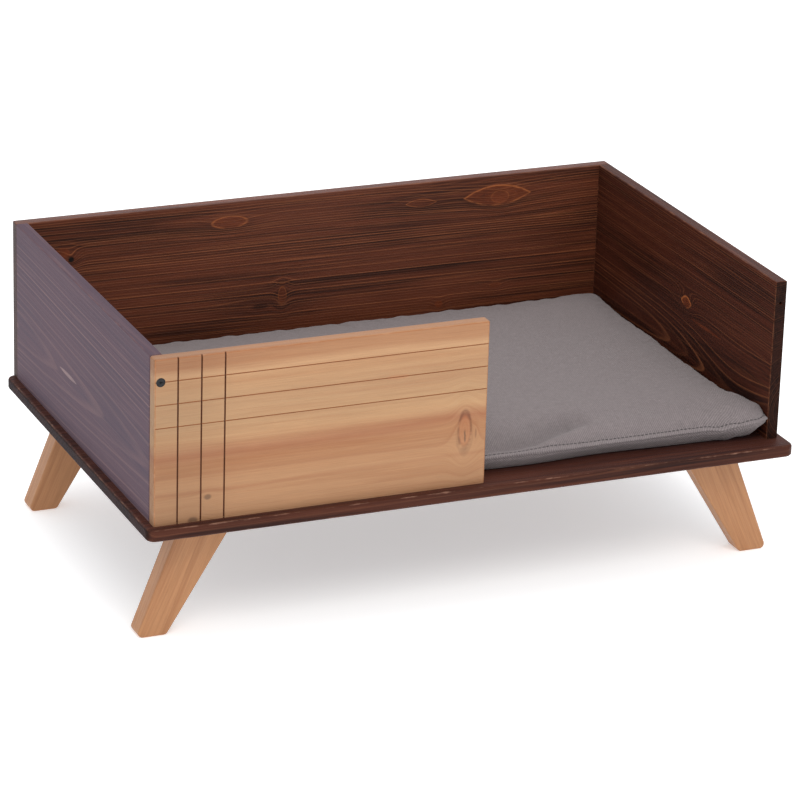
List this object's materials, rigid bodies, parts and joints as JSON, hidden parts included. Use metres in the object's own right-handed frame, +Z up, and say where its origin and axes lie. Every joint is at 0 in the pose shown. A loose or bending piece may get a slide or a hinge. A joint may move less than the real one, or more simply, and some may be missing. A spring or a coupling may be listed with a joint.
{
  "type": "dog bed with frame",
  "caption": "Low walled wooden dog bed on splayed legs, with a half-open front and a zipped cushion that lifts out.",
  "frame": {"origin": "on the floor, below the middle of the base board", "axes": "+X along the length to the right as seen from the open front, +Y to the back board, +Z up"},
  "size_m": [0.82, 0.527, 0.353],
  "materials": {
    "dark_wood": "dark brown stained softwood, satin",
    "pale_wood": "clear oiled softwood, satin",
    "leg_wood": "clear oiled softwood, satin",
    "beech": "plain beech",
    "black_steel": "black oxide, satin",
    "zinc_steel": "bright zinc plated",
    "cushion_fabric": "warm grey brushed twill",
    "filling": "white fibre filling",
    "zip_tape": "dark grey woven tape",
    "zip_plastic": "dark grey nylon coil",
    "zip_metal": "nickel, satin"
  },
  "bodies": {
    "frame": {"base_board": "dark_wood", "back_board": "dark_wood", "left_side_board": "dark_wood", "right_side_board": "dark_wood", "front_board": "pale_wood", "leg_front_left": "leg_wood", "leg_front_right": "leg_wood", "leg_rear_left": "leg_wood", "leg_rear_right": "leg_wood", "wall_screws": "zinc_steel", "back_board_screws": "zinc_steel", "leg_screws": "zinc_steel", "front_board_screw": "black_steel", "wall_dowels": "beech", "leg_dowels": "beech"},
    "cushion": {"cushion_top_panel": "cushion_fabric", "cushion_bottom_panel": "cushion_fabric", "cushion_insert": "filling", "zip_tapes": "zip_tape", "zip_chain": "zip_plastic", "zip_stops": "zip_metal"},
    "zip_slider": {"zip_slider": "zip_metal"},
    "zip_pull": {"zip_pull": "zip_metal"}
  },
  "joints": [
    {"name": "cushion_lift", "type": "slide", "parent": "frame", "child": "cushion", "axis": [0, 0, 1], "range_m": [0, 0.23]},
    {"name": "zip_slide", "type": "slide", "parent": "cushion", "child": "zip_slider", "axis": [-1, 0, 0], "range_m": [0, 0.587]},
    {"name": "zip_pull_hinge", "type": "hinge", "parent": "zip_slider", "child": "zip_pull", "pos_m": [0.2935, 0.2338, 0.1753], "axis": [0, 0, -1], "range_deg": [0, 35]}
  ]
}
